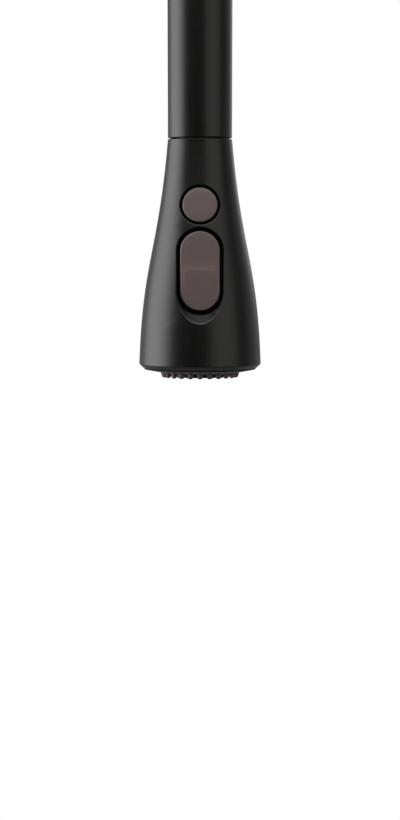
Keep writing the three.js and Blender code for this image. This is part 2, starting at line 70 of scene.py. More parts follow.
camera_data = bpy.data.cameras.new("camera")
camera_data.sensor_width = 36.0
camera_data.lens = 93.05
camera_data.clip_start = 0.02
camera = bpy.data.objects.new("camera", camera_data)
camera.location = (HEAD_X * MM, -CAMERA_DISTANCE * MM, (SEAM_Z - CAMERA_BELOW_SEAM) * MM)
camera.rotation_euler = (math.pi / 2 - CAMERA_PITCH, 0, 0)
bpy.context.scene.collection.objects.link(camera)
bpy.context.scene.camera = camera
bpy.context.scene.view_settings.view_transform = "Standard"


def softbox(name, from_seam, width, height, power, colour=(1, 1, 1)):
    """A rectangular light, placed in millimetres from the seam, that faces the middle of the spray head."""
    data = bpy.data.lights.new(name, "AREA")
    data.shape = "RECTANGLE"
    data.size, data.size_y = width * MM, height * MM
    data.energy = power
    data.color = colour
    lamp = bpy.data.objects.new(name, data)
    seam = Vector((HEAD_X, 0, SEAM_Z))
    lamp.location = (seam + Vector(from_seam)) * MM
    away = Vector((0, 0, -LIT_BELOW_SEAM)) - Vector(from_seam)
    lamp.rotation_euler = away.to_track_quat("-Z", "Y").to_euler()
    bpy.context.scene.collection.objects.link(lamp)


softbox("left_softbox", (-1498, 90, 100), 1880, 2000, 25.5)
softbox("left_core", (-1560, -20, 100), 820, 2100, 7)
softbox("right_softbox", (1250, -1150, 150), 1700, 1700, 6, (1, 0.985, 0.96))
softbox("front_softbox", (-100, -1250, 1450), 1900, 900, 22)
softbox("top_softbox", (100, 100, 1600), 2400, 1800, 8)
softbox("back_softbox", (500, 1700, 700), 1900, 1500, 6)

# The backdrop is white where it is seen. As a light it is dim in front of the faucet and brighter behind
# it.
world = bpy.data.worlds.new("white_backdrop")
bpy.context.scene.world = world
world.use_nodes = True
nodes, links = world.node_tree.nodes, world.node_tree.links
nodes.clear()
seen = nodes.new("ShaderNodeBackground")
seen.inputs["Color"].default_value = (1, 1, 1, 1)
lit = nodes.new("ShaderNodeBackground")
lit.inputs["Color"].default_value = (0.97, 0.98, 1, 1)
direction = nodes.new("ShaderNodeSeparateXYZ")
links.new(nodes.new("ShaderNodeTexCoord").outputs["Generated"], direction.inputs[0])
behind = nodes.new("ShaderNodeMapRange")
behind.interpolation_type = "SMOOTHERSTEP"
behind.inputs["From Min"].default_value = -0.8
behind.inputs["From Max"].default_value = 1.0
behind.inputs["To Min"].default_value = LIGHT_FROM_FRONT
behind.inputs["To Max"].default_value = LIGHT_FROM_BACK
links.new(direction.outputs["Y"], behind.inputs["Value"])
links.new(behind.outputs["Result"], lit.inputs["Strength"])
seen_or_lit = nodes.new("ShaderNodeMixShader")
links.new(nodes.new("ShaderNodeLightPath").outputs["Is Camera Ray"], seen_or_lit.inputs["Fac"])
links.new(lit.outputs["Background"], seen_or_lit.inputs[1])
links.new(seen.outputs["Background"], seen_or_lit.inputs[2])
links.new(seen_or_lit.outputs["Shader"], nodes.new("ShaderNodeOutputWorld").inputs["Surface"])

# The floor is a pale disc, well below the pulled-out spray head, which thins to nothing towards its rim.
bpy.ops.mesh.primitive_circle_add(vertices=96, radius=FLOOR_RADIUS * MM, fill_type="NGON")
floor = bpy.context.object
floor.name = "floor"
floor.location = (FLOOR_X * MM, 0, FLOOR_Z * MM)
floor_paint = bpy.data.materials.new("pale_floor")
floor_paint.use_nodes = True
nodes, links = floor_paint.node_tree.nodes, floor_paint.node_tree.links
nodes.clear()
pale = nodes.new("ShaderNodeBsdfDiffuse")
paler = nodes.new("ShaderNodeMapRange")
paler.inputs["To Min"].default_value = 0.3
paler.inputs["To Max"].default_value = 0.9
links.new(nodes.new("ShaderNodeLightPath").outputs["Is Camera Ray"], paler.inputs["Value"])
links.new(paler.outputs["Result"], pale.inputs["Color"])
reach = nodes.new("ShaderNodeVectorMath")
reach.operation = "LENGTH"
thinning = nodes.new("ShaderNodeMapRange")
thinning.interpolation_type = "SMOOTHSTEP"
thinning.inputs["From Min"].default_value = FLOOR_SOLID * MM
thinning.inputs["From Max"].default_value = FLOOR_RADIUS * MM * 0.97
links.new(nodes.new("ShaderNodeTexCoord").outputs["Object"], reach.inputs[0])
links.new(reach.outputs["Value"], thinning.inputs["Value"])
fade = nodes.new("ShaderNodeMixShader")
links.new(thinning.outputs["Result"], fade.inputs["Fac"])
links.new(pale.outputs["BSDF"], fade.inputs[1])
links.new(nodes.new("ShaderNodeBsdfTransparent").outputs["BSDF"], fade.inputs[2])
links.new(fade.outputs["Shader"], nodes.new("ShaderNodeOutputMaterial").inputs["Surface"])
floor.data.materials.append(floor_paint)

# ---------------------------------------------------------------- foot and body
# The body is a brass casting, turned and coated matte black, which widens to its foot in the same bell as
# the spray head. A loose ring hides the hole in the worktop, and the boss on the body's side holds the
# valve.
BODY_FOOT_Z, BODY_TOP_Z = 8.35, 150.0
BODY_FOOT_R, BODY_TOP_R = 27.0, 18.4
SOCKET_R, SOCKET_FLOOR_Z = 16.4, 98.0
SHANK_BORE_R = 17.35
BOSS_R, BOSS_BORE_R, BOSS_END = 20.6, 18.2, 44.46
VALVE_Z = 72.0
WELD = 2.2


def soften(outline, radius, closed=True, steps=4):
    """An outline's corners rounded off. Each corner becomes a parabola that leaves both edges at the radius
    from it, or at 0.42 of a short edge. One more point on each edge, a little further out, keeps the flat
    next to it flat."""
    points = np.asarray(outline, float)
    count = len(points)
    soft = []
    for i in range(count):
        if not closed and i in (0, count - 1):
            soft.append(points[i : i + 1])
            continue
        here, before, after = points[i], points[i - 1], points[(i + 1) % count]
        back, ahead = before - here, after - here
        back_length, ahead_length = np.linalg.norm(back), np.linalg.norm(ahead)
        cut = min(radius, 0.42 * back_length, 0.42 * ahead_length)
        to_back, to_ahead = back / back_length * cut, ahead / ahead_length * cut
        t = np.linspace(0, 1, steps + 1)[:, None]
        arc = (here + to_back) * (1 - t) ** 2 + here * 2 * t * (1 - t) + (here + to_ahead) * t**2
        soft.append(np.vstack([here + to_back * 1.18, arc, here + to_ahead * 1.18]))
    return np.vstack(soft)


def finer(outline, step):
    """An outline with more points: each edge is divided evenly into pieces no longer than step."""
    points = np.asarray(outline, float)
    parts = []
    for a, b in zip(points[:-1], points[1:]):
        count = max(1, int(np.ceil(np.linalg.norm(b - a) / step)))
        parts.append(a + (b - a) * np.linspace(0, 1, count, endpoint=False)[:, None])
    return np.vstack([*parts, points[-1:]])


def straight(origin=(0, 0, 0), along=(0, 0, 1)):
    """A straight axis: s goes to origin + s * along, with two directions square to it, the first one
    level."""
    along = np.array(along, float) / np.linalg.norm(along)
    level = np.cross(along, (0, 0, 1)) if abs(along[2]) < 0.9 else np.array([1.0, 0, 0])
    level /= np.linalg.norm(level)
    other = np.cross(along, level)

    def at(s):
        s = np.asarray(s, float)[..., None]
        square = s.shape[:-1] + (3,)
        return origin + s * along, np.broadcast_to(level, square), np.broadcast_to(other, square)

    return at


upright = straight()


def carried(outline, path, around=128, ribs=None):
    """Points of a round section carried along a path. The outline is (radius, place along the path), and
    the point at turn a is centre + radius * (cos a * first direction + sin a * second direction). ribs(a,
    place) is added to the radius."""
    outline = np.asarray(outline, float)
    radius, place = outline[:, 0], outline[:, 1]
    turn = np.linspace(0, 2 * math.pi, around, endpoint=False)
    centre, first, second = path(place)
    spread = radius[:, None] + (ribs(turn[None], place[:, None]) if ribs else 0)
    spoke = np.cos(turn)[None, :, None] * first[:, None] + np.sin(turn)[None, :, None] * second[:, None]
    return centre[:, None] + spread[..., None] * spoke


def quads(rows, columns, close_rows, close_columns, first=0):
    """Corner numbers of the faces of a grid of points, rows by columns, that may join up at its ends. The
    result is a grid too, with one face for each corner where a face begins."""
    i = np.arange(rows if close_rows else rows - 1)
    j = np.arange(columns if close_columns else columns - 1)
    i, j = np.meshgrid(i, j, indexing="ij")
    k, m = (i + 1) % rows, (j + 1) % columns
    return np.stack([i * columns + j, i * columns + m, k * columns + m, k * columns + j], -1) + first


surfaces = {}


def made_piece(name, grids, body, slot, stands_for):
    """A mesh object from grids, each (points in millimetres, rows join up, columns join up), perhaps with a
    mask of faces that are left out. Points that fall together are merged, which closes seams and poles, and
    the faces are turned outwards. It has its slot's surface, rides on a body and replaces a CAD node."""
    points, faces, start = [], [], 0
    for grid, close_rows, close_columns, *left_out in grids:
        rows, columns = grid.shape[:2]
        points.append(grid.reshape(-1, 3) * MM)
        corners = quads(rows, columns, close_rows, close_columns, start)
        if left_out:
            corners = corners[~left_out[0][: corners.shape[0], : corners.shape[1]]]
        faces.append(corners.reshape(-1, 4))
        start += rows * columns
    mesh = bpy.data.meshes.new(name)
    mesh.from_pydata(np.vstack(points).tolist(), [], np.vstack(faces).tolist())
    shape = bmesh.new()
    shape.from_mesh(mesh)
    bmesh.ops.remove_doubles(shape, verts=shape.verts, dist=2e-6)
    bmesh.ops.recalc_face_normals(shape, faces=shape.faces)
    shape.to_mesh(mesh)
    shape.free()
    mesh.shade_smooth()
    mesh.materials.append(surfaces[slot])
    piece = bpy.data.objects.new(name, mesh)
    bpy.context.scene.collection.objects.link(piece)
    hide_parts(stands_for)
    if body:
        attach(piece, body)
    return piece


def turned(name, outline, body, slot, stands_for, axis=upright, around=128, radius=0.35, ribs=None):
    """A turned piece. Its outline of (radius, height), in millimetres, closes on itself, or starts and ends
    on the axis. Its corners are softened by a radius."""
    outline = np.asarray(outline, float)
    closed = not (outline[0, 0] == 0 and outline[-1, 0] == 0)
    soft = soften(outline, radius, closed) if radius else outline
    return made_piece(name, [(carried(soft, axis, around, ribs), closed, True)], body, slot, stands_for)


def node_group(name, inputs, outputs):
    """An empty shader node group with named number inputs, (name, start value), and named number
    outputs."""
    group = bpy.data.node_groups.new(name, "ShaderNodeTree")
    for label, value in inputs:
        socket = group.interface.new_socket(label, in_out="INPUT", socket_type="NodeSocketFloat")
        socket.default_value = value
    for label in outputs:
        group.interface.new_socket(label, in_out="OUTPUT", socket_type="NodeSocketFloat")
    return group, group.nodes.new("NodeGroupInput").outputs, group.nodes.new("NodeGroupOutput").inputs


def math_node(tree, operation, a, b=None, c=None, clamp=False):
    """A Math node in a tree, fed with sockets or numbers, and its output."""
    node = tree.nodes.new("ShaderNodeMath")
    node.operation = operation
    node.use_clamp = clamp
    for socket, value in zip(node.inputs, (a, b, c)):
        if isinstance(value, bpy.types.NodeSocket):
            tree.links.new(value, socket)
        elif value is not None:
            socket.default_value = value
    return node.outputs[0]


def swing(tree, value, middle, amount):
    """How far a value is from its middle, times an amount."""
    return math_node(tree, "MULTIPLY", math_node(tree, "SUBTRACT", value, middle), amount)


def noise(tree, place, scale, detail, roughness, stretch=None):
    """A Noise Texture's value at a place, perhaps stretched along an axis first."""
    if stretch is not None:
        mapping = tree.nodes.new("ShaderNodeMapping")
        mapping.inputs["Scale"].default_value = stretch
        tree.links.new(place, mapping.inputs["Vector"])
        place = mapping.outputs["Vector"]
    node = tree.nodes.new("ShaderNodeTexNoise")
    node.inputs["Detail"].default_value = detail
    node.inputs["Roughness"].default_value = roughness
    if isinstance(scale, bpy.types.NodeSocket):
        tree.links.new(scale, node.inputs["Scale"])
    else:
        node.inputs["Scale"].default_value = scale
    tree.links.new(place, node.inputs["Vector"])
    return node.outputs["Fac"]


# The grain of a sprayed or moulded surface: a fine relief, and a roughness that varies with it and with
# wipes.
grain, given, result = node_group(
    "surface_grain",
    [("Grains per metre", 1500), ("Roughness", 0.4), ("Grain roughness", 0.1), ("Wipe roughness", 0.05)],
    ["Height", "Roughness", "Speck"],
)
place = grain.nodes.new("ShaderNodeTexCoord").outputs["Object"]
fine = noise(grain, place, given["Grains per metre"], 3.0, 0.65)
wipes = noise(grain, place, 24.0, 4.0, 0.6, (1, 1, 0.45))
rougher = swing(grain, fine, 0.5, given["Grain roughness"])
wiped = swing(grain, wipes, 0.5, given["Wipe roughness"])
total = math_node(grain, "ADD", math_node(grain, "ADD", rougher, wiped), given["Roughness"], clamp=True)
grain.links.new(fine, result["Height"])
grain.links.new(total, result["Roughness"])
grain.links.new(math_node(grain, "MULTIPLY_ADD", fine, 3.2, -1.45, clamp=True), result["Speck"])


def new_material(name, metallic, specular):
    """A material with a Principled BSDF whose even values are set on its own sockets."""
    material = bpy.data.materials.new(name)
    material.use_nodes = True
    shader = material.node_tree.nodes["Principled BSDF"]
    shader.inputs["Metallic"].default_value = metallic
    shader.inputs["Specular IOR Level"].default_value = specular
    return material, material.node_tree, shader


def use_group(tree, group, **values):
    """A group in a material, with its inputs set. An underscore in a value's name stands for a space."""
    node = tree.nodes.new("ShaderNodeGroup")
    node.node_tree = group
    for label, value in values.items():
        node.inputs[label.replace("_", " ")].default_value = value
    return node.outputs


def two_tone(tree, shader, mask, low, high):
    """Base Color goes from low to high with a mask."""
    mix = tree.nodes.new("ShaderNodeMix")
    mix.data_type = "RGBA"
    mix.inputs["A"].default_value = (*low, 1)
    mix.inputs["B"].default_value = (*high, 1)
    tree.links.new(mask, mix.inputs["Factor"])
    tree.links.new(mix.outputs["Result"], shader.inputs["Base Color"])


def relief(tree, shader, height, depth, strength):
    """Feeds a height between 0 and 1 to the shader as a bump of that depth in millimetres."""
    bump = tree.nodes.new("ShaderNodeBump")
    bump.inputs["Distance"].default_value = depth * MM
    bump.inputs["Strength"].default_value = strength
    tree.links.new(height, bump.inputs["Height"])
    tree.links.new(bump.outputs["Normal"], shader.inputs["Normal"])


def grained(slot, name, low, high, specular, depth, strength, mask="Height", **grain_values):
    """A sprayed or moulded surface for a slot: it goes from low to high with a mask of its grain, which
    also gives its roughness and its relief. It returns the shader."""
    material, tree, shader = new_material(name, 0.0, specular)
    surface = use_group(tree, grain, **grain_values)
    two_tone(tree, shader, surface[mask], low, high)
    tree.links.new(surface["Roughness"], shader.inputs["Roughness"])
    relief(tree, shader, surface["Height"], depth, strength)
    surfaces[slot] = material
    return shader


grained(
    "matte_black", "matte_black_coating", (0.0016, 0.0013, 0.001), (0.0052, 0.0046, 0.004), 0.58, 0.045, 0.7,
    "Speck", Grains_per_metre=1900, Roughness=0.34, Grain_roughness=0.26, Wipe_roughness=0.05)


def flare(share):
    """How far a bell has opened, 0 to 1, at a share of its length: a cubic Bezier curve in (length,
    opening)."""
    t = np.linspace(0, 1, 4001)
    length = 3 * (1 - t) ** 2 * t * 0.51 + 3 * (1 - t) * t**2 * 0.535 + t**3
    opening = 3 * (1 - t) ** 2 * t * 0.338 + 3 * (1 - t) * t**2 * 0.881 + t**3
    return np.interp(share, length, opening)


def body_radius(z):
    """The body's outer radius at a height."""
    return BODY_TOP_R + (BODY_FOOT_R - BODY_TOP_R) * flare((BODY_TOP_Z - z) / (BODY_TOP_Z - BODY_FOOT_Z))


ring_outline = [(17.6, 1.95), (28.5, 1.95), (28.5, 5.6), (27.4, 8), (17.6, 8)]
turned("foot_ring", ring_outline, "base", "matte_black", "base_ring", upright, 160, 0.5)
body_z = np.linspace(BODY_FOOT_Z + 0.9, BODY_TOP_Z - 0.6, 110)
body_side = np.stack([body_radius(body_z), body_z], -1)
body_foot = soften([(24, BODY_FOOT_Z), (BODY_FOOT_R, BODY_FOOT_Z), body_side[0]], 0.45, closed=False)
body_top = soften([
    body_side[-1], (BODY_TOP_R, BODY_TOP_Z), (SOCKET_R, BODY_TOP_Z), (SOCKET_R, BODY_TOP_Z - 10),
], 0.4, closed=False)
body_inside = [
    (SOCKET_R, BODY_TOP_Z - 10), (SOCKET_R, SOCKET_FLOOR_Z), (19.2, 92), (20.4, 50), (20.4, 24),
    (SHANK_BORE_R, 21), (SHANK_BORE_R, BODY_FOOT_Z),
]
body_outline = np.vstack([body_foot[1:-1], body_side, body_top[1:-1], body_inside])
bell = (carried(body_outline, upright, 144), True, True)
boss_turn = np.linspace(0, 2 * math.pi, 112, endpoint=False)


def boss_loop(radius, reach):
    """A loop of the boss at a radius and a distance from the faucet's axis, one value or one for each
    point."""
    radius, reach = np.broadcast_arrays(radius, reach, boss_turn)[:2]
    return np.stack([radius * np.cos(boss_turn), -reach, VALVE_Z + radius * np.sin(boss_turn)], -1)


def on_body(radius):
    """How far in front of the faucet's axis the body's side is, at each point of a loop of the boss."""
    z = VALVE_Z + radius * np.sin(boss_turn)
    return np.sqrt(np.maximum(body_radius(z) ** 2 - (radius * np.cos(boss_turn)) ** 2, 0))


# The boss runs into the body over a small hollow fillet, which fades out where the two surfaces meet flat.
boss = [boss_loop(BOSS_BORE_R, 16.0), boss_loop(BOSS_R, 16.0)]
boss.append(boss_loop(BOSS_R, np.maximum(on_body(BOSS_R) - 3, 16.1)))
steepness = np.sin(boss_turn) ** 2
for turn in np.linspace(0, math.pi / 2, 7):
    flared = BOSS_R + WELD * steepness * (1 - math.sin(turn))
    boss.append(boss_loop(flared, np.maximum(on_body(flared), 16.2) - 0.05 + WELD * (1 - math.cos(turn))))
last = -boss[-1][:, 1]
boss += [boss_loop(BOSS_R, last + (BOSS_END - 0.7 - last) * t) for t in (0.04, 0.35, 0.7, 1.0)]
for turn in np.linspace(0.3, 1.57, 4):
    boss.append(boss_loop(BOSS_R - 0.5 * (1 - math.cos(turn)), BOSS_END - 0.85 + 0.5 * math.sin(turn)))
boss += [boss_loop(BOSS_BORE_R + 0.35, BOSS_END - 0.35), boss_loop(BOSS_BORE_R, BOSS_END - 0.7)]
made_piece("body_casting", [bell, (np.stack(boss), True, True)], "base", "matte_black", "faucet_body")

# ---------------------------------------------------------------- pipes under the worktop
# Two copper tubes bring hot and cold water up to the valve, and a third takes the mixed water back down to
# the hose. Each ends in a brass fitting, and a hexagon on it is for the spanner.
PIPE_R, PIPE_WALL = 3.8, 1.0
PIPE_TOP_Z, INLET_FOOT_Z, OUTLET_FOOT_Z = 49.65, -108.0, -84.0
INLET_X, INLET_Y = 10.0, -4.6
HEXAGON_R = 7.6

# Fine lines left by turning, which run round a piece: a noise stretched level and squeezed along the
# height.
lathe, given, result = node_group(
    "turned_metal", [("Roughness", 0.25), ("Line roughness", 0.15)], ["Height", "Roughness", "Stain"])
place = lathe.nodes.new("ShaderNodeTexCoord").outputs["Object"]
lines = noise(lathe, place, 9.0, 3.0, 0.7, (0.4, 0.4, 420))
stain = noise(lathe, place, 65.0, 5.0, 0.6)
uneven = math_node(
    lathe, "ADD", swing(lathe, lines, 0.5, given["Line roughness"]), swing(lathe, stain, 0.45, 0.22))
lathe.links.new(lines, result["Height"])
lathe.links.new(math_node(lathe, "ADD", uneven, given["Roughness"], clamp=True), result["Roughness"])
lathe.links.new(math_node(lathe, "MULTIPLY_ADD", stain, 2.4, -0.75, clamp=True), result["Stain"])


def metal(slot, name, bright, dull, roughness):
    """A turned metal for a slot: bright, with dull stains, and with the lathe's lines in its roughness and
    relief."""
    material, tree, shader = new_material(name, 1.0, 0.5)
    surface = use_group(tree, lathe, Roughness=roughness, Line_roughness=0.16)
    two_tone(tree, shader, surface["Stain"], bright, dull)
    tree.links.new(surface["Roughness"], shader.inputs["Roughness"])
    relief(tree, shader, surface["Height"], 0.006, 0.5)
    surfaces[slot] = material


metal("brass", "turned_brass", (0.69, 0.47, 0.2), (0.5, 0.32, 0.13), 0.3)
metal("copper", "drawn_copper", (0.78, 0.36, 0.22), (0.46, 0.2, 0.12), 0.3)


def smooth_step(value):
    """0 to 1 with level ends, for a value that is clipped to 0 to 1."""
    value = np.clip(value, 0, 1)
    return value * value * (3 - 2 * value)


def screw_thread(depth, pitch, low, high):
    """The change of radius that cuts a right-hand thread: it goes in by depth along a wave of one pitch
    that climbs once a turn, and it runs out towards both ends."""
    def ribs(turn, place):
        phase = place / pitch - turn / (2 * math.pi)
        wave = np.abs(2 * (phase - np.floor(phase)) - 1)
        fade = smooth_step((place - low) / pitch) * smooth_step((high - place) / pitch)
        return -depth * np.clip(1.25 * wave - 0.125, 0, 1) * fade
    return ribs


def threaded(radius, low, high, pitch):
    """Points of a threaded rod's outside, eight to a pitch."""
    place = np.linspace(low, high, int((high - low) / pitch * 8) + 1)
    return np.stack([np.full_like(place, radius), place], -1)


def hexagon(radius):
    """The change of radius that makes a round a hexagon with slightly turned-off corners."""
    def ribs(turn, place):
        side = (turn + math.pi / 6) % (math.pi / 3) - math.pi / 6
        flat = radius * math.cos(math.pi / 6) / np.cos(side)
        return np.minimum(flat, radius * 0.985) - radius + 0 * place
    return ribs


def pipe(name, foot, axis, stands_for):
    """A copper tube from its foot up to the valve."""
    inner = PIPE_R - PIPE_WALL
    outline = [(inner, foot), (PIPE_R, foot), (PIPE_R, PIPE_TOP_Z), (inner, PIPE_TOP_Z)]
    turned(name, outline, "base", "copper", stands_for, axis, 40, 0.3)


for side, name in ((-1, "hot"), (1, "cold")):
    pipe_axis = straight((side * INLET_X, INLET_Y, 0))
    pipe(f"{name}_pipe", INLET_FOOT_Z, pipe_axis, f"{name}_inlet_tube")
    thread_cut = screw_thread(0.6, 1.2, -127.8, -117.8)
    thread = carried(threaded(6.6, -128.0, -117.2, 1.2), pipe_axis, 96, thread_cut)
    outside = carried([(HEXAGON_R, -116.35), (HEXAGON_R, -108.35)], pipe_axis, 96, hexagon(HEXAGON_R))
    ends = carried([(7.1, -108.35), (2.6, -108.35), (2.6, -128.35), (6.2, -128.35)], pipe_axis, 96)
    fitting = (np.concatenate([thread, outside, ends]), True, True)
    made_piece(f"{name}_fitting", [fitting], "base", "brass", f"{name}_inlet_adapter")
outlet_axis = straight((0, -11, 0))
pipe("mixed_pipe", OUTLET_FOOT_Z, outlet_axis, "outlet_tube")
turned("mixed_fitting", [
    (2.4, -100), (5, -100), (5, -97), (6.2, -96), (6.2, -84.35), (2.4, -84.35),
], "base", "brass", "outlet_coupling", outlet_axis, 64, 0.4)
turned("hose_fitting", [
    (0, -94), (4.2, -94), (4.2, -91.8), (3.6, -91.4), (3.6, -90.4), (4.2, -90), (4.2, -86), (6, -85),
    (6, -81), (7.4, -80), (7.4, -72.35), (0, -72.35),
], "base", "brass", "hose_end_fitting", straight((0, 7, 0)), 64, 0.3)

# ---------------------------------------------------------------- valve and lever
# The ceramic cartridge sits in the boss under a brass nut. A black dome covers the nut, and the lever's
# hub, cupped to the dome's curve, rocks and turns over it. The lever is a slim bar screwed into the hub.
PIVOT = 32.5
DOME_R, DOME_MOUTH_R, HUB_GAP, HUB_R, HUB_END = 24.0, 12.0, 0.5, 19.6, 64.5
LEVER_REACH = 58.5

valve_axis = straight((0, 0, VALVE_Z), (0, -1, 0))


def arc(centre, radius, start, end, count):
    """Outline points on a circle about a point of the axis at a height of centre, from one angle to
    another. An angle is measured from square to the axis."""
    turn = np.linspace(start, end, count)
    return np.stack([radius * np.cos(turn), centre + radius * np.sin(turn)], -1)


rim_angle, mouth_angle = math.acos(BOSS_R / DOME_R), math.acos(DOME_MOUTH_R / DOME_R)
dome = np.vstack([
    arc(PIVOT, DOME_R, rim_angle + 0.012, mouth_angle - 0.02, 40),
    arc(PIVOT, DOME_R - 0.7, mouth_angle, mouth_angle, 1),
    arc(PIVOT, DOME_R - 1.4, mouth_angle - 0.02, rim_angle + 0.07, 12),
])
turned("valve_dome", dome, "base", "matte_black", "bonnet_dome", valve_axis, 128, 0)
cup_r = DOME_R + HUB_GAP
cup = arc(PIVOT, cup_r, math.acos(3.4 / cup_r), math.acos(19 / cup_r), 26)
hub_rim = soften([
    cup[-2], cup[-1], (HUB_R, cup[-1][1] + 0.8), (HUB_R, HUB_END - 1.5), (18.2, HUB_END), (0, HUB_END),
], 0.5, closed=False)
hub = np.vstack([[(0, 61.3), (3.0, 61.3)], cup[:-1], hub_rim[1:]])
turned("lever_hub", hub, "lever", "matte_black", "handle_hub", valve_axis, 144, 0)
lever = np.vstack([
    [(0, 12.9), (2.9, 12.9), (2.9, 19.2), (4.0, 19.2), (4.45, 19.8), (4.5, 20.6), (4.9, 24)],
    finer([(4.88, 25), (4.5, 60)], 2), finer([(4.53, 64), (5.2, 98)], 2),
    arc(100, 5.2, 0, math.pi / 2, 14)[1:-1], [(0, 105.2)],
])
lever_axis = straight((0, -LEVER_REACH, VALVE_Z))
turned("lever_bar", lever, "lever", "matte_black", "handle_lever", lever_axis, 72, 0)
turned("valve_nut", [
    (11.2, 40.35), (17.85, 40.35), (17.85, 44.5), (13.2, 45.2), (13.2, 49.6), (11.2, 49.6),
], "base", "brass", "bonnet_nut", valve_axis, 96, 0.4)

# ---------------------------------------------------------------- spout tube
# A brass tube, bent to a gooseneck and coated matte black. It turns in the body's socket, and its mouth
# holds the spray head. The baked coating has a fine grain that breaks the light up into tiny specks.
TUBE_R = 14.2
MOUTH_R = 14.07
TUBE_BORE_R = 12.8
ARC_R = 108.0
LEG = 66.0
ARC_Z = SEAM_Z + LEG
tube_foot_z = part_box("spout_tube")[0].z / MM


def gooseneck(s):
    """The spout's centre line by length: up from the foot, over a half circle of ARC_R, and down to the
    mouth."""
    s = np.asarray(s, float)
    rise = ARC_Z - tube_foot_z
    angle = np.clip((s - rise) / ARC_R, 0, math.pi)
    fall = np.maximum(s - rise - math.pi * ARC_R, 0)
    height = tube_foot_z + np.minimum(s, rise) + ARC_R * np.sin(angle) - fall
    zero = np.zeros_like(s)
    outward = np.stack([np.cos(angle), zero, np.sin(angle)], -1)
    sideways = np.broadcast_to(np.array([0.0, 1.0, 0.0]), outward.shape)
    return np.stack([-ARC_R + ARC_R * np.cos(angle), zero, height], -1), outward, sideways


tube_length = ARC_Z - tube_foot_z + math.pi * ARC_R + LEG
tube_outline = soften([
    (TUBE_BORE_R, 0), (TUBE_R, 0), (TUBE_R, tube_length - 60), (MOUTH_R, tube_length),
    (TUBE_BORE_R, tube_length),
], 0.3)
tube_outline = finer(np.vstack([tube_outline, tube_outline[:1]]), 2.6)[:-1]
tube = (carried(tube_outline, gooseneck, 112), True, True)
made_piece("gooseneck_tube", [tube], "spout", "matte_black", "spout_tube")

# ---------------------------------------------------------------- spout collar, mouth and hose end
# A coated collar hides the joint between body and spout. The mouth holds a plastic sleeve and a magnet,
# which centre the head and hold it up. The hose ends in a crimped ferrule and a nut that turns in the
# head's neck.
grained(
    "black_plastic", "black_moulded_plastic", (0.0038, 0.0042, 0.0038), (0.0085, 0.009, 0.0083),
    0.42, 0.014, 0.5, Grains_per_metre=1900, Roughness=0.42, Grain_roughness=0.14, Wipe_roughness=0.1)
metal("steel", "stainless_steel", (0.6, 0.59, 0.57), (0.47, 0.46, 0.445), 0.27)

head_axis = straight((HEAD_X, 0, SEAM_Z))
turned("joint_collar", [
    (14.55, 150.4), (18.2, 150.4), (18.2, 153), (17, 156.5), (15.4, 158), (14.55, 158),
], "spout", "matte_black", "spout_collar", upright, 128, 0.5)
turned("mouth_sleeve", [
    (11.6, 1.6), (12.4, 1.6), (12.4, 14.3), (10.9, 14.3), (10.9, 3),
], "spout", "black_plastic", "dock_sleeve", head_axis, 96, 0.3)
turned("mouth_magnet", [
    (8.8, 14.8), (12.4, 14.8), (12.4, 20), (8.8, 20),
], "spout", "steel", "dock_magnet", head_axis, 96, 0.4)


def crimps(turn, place):
    """Two rounded grooves, pressed into the ferrule all the way round."""
    return -0.28 * (np.exp(-((place - 2) / 1.1) ** 2) + np.exp(-((place - 8) / 1.1) ** 2)) + 0 * turn


ferrule = [(6.55, -5), *[(7.9, z) for z in np.linspace(-5, 14, 40)], (7.4, 17), (6.55, 17)]
turned("crimped_ferrule", ferrule, "hose_end", "steel", "hose_ferrule", head_axis, 80, 0.15, crimps)
turned("turning_nut", [
    (4.4, -17), (7.9, -17), (7.9, -8), (6.6, -7.2), (6.6, -5.4), (4.4, -5.4),
], "hose_end", "brass", "hose_swivel_nut", head_axis, 80, 0.3)

# The hose is woven over with grey and black nylon: each strand climbs round the hose, over and under the
# ones that climb the other way. The part between spout and head stretches in place of hose that slides
# through.
HOSE_R = 6.2
LEAD_TOP, LEAD_FOOT = 60.0, -4.6
STRANDS, BRAID_LAY = 12, 24.0

braid, given, result = node_group(
    "braid_weave", [("Axis x", 0), ("Strands", STRANDS), ("Lay", BRAID_LAY * MM)], ["Height", "Light strand"])
split = braid.nodes.new("ShaderNodeSeparateXYZ")
braid.links.new(braid.nodes.new("ShaderNodeTexCoord").outputs["Object"], split.inputs[0])
from_axis = math_node(braid, "SUBTRACT", split.outputs["X"], given["Axis x"])
angle = math_node(braid, "ARCTAN2", split.outputs["Y"], from_axis)
turn_share = math_node(braid, "MULTIPLY", angle, 1 / (2 * math.pi))
climb = math_node(braid, "DIVIDE", split.outputs["Z"], given["Lay"])
right = math_node(braid, "MULTIPLY", math_node(braid, "ADD", turn_share, climb), given["Strands"])
left = math_node(braid, "MULTIPLY", math_node(braid, "SUBTRACT", turn_share, climb), given["Strands"])


def ridge(tree, value):
    """A row of round ridges, one to each whole number: 0 between them and 1 at their tops."""
    wave = math_node(tree, "PINGPONG", value, 0.5)
    return math_node(tree, "SINE", math_node(tree, "MULTIPLY", wave, math.pi))


over = math_node(braid, "SINE", math_node(braid, "MULTIPLY", math_node(braid, "ADD", right, left), math.pi))
right_on_top = math_node(braid, "GREATER_THAN", over, 0)
strand = braid.nodes.new("ShaderNodeMix")
braid.links.new(right_on_top, strand.inputs["Factor"])
braid.links.new(ridge(braid, left), strand.inputs["A"])
braid.links.new(ridge(braid, right), strand.inputs["B"])
braid.links.new(strand.outputs["Result"], result["Height"])
braid.links.new(right_on_top, result["Light strand"])


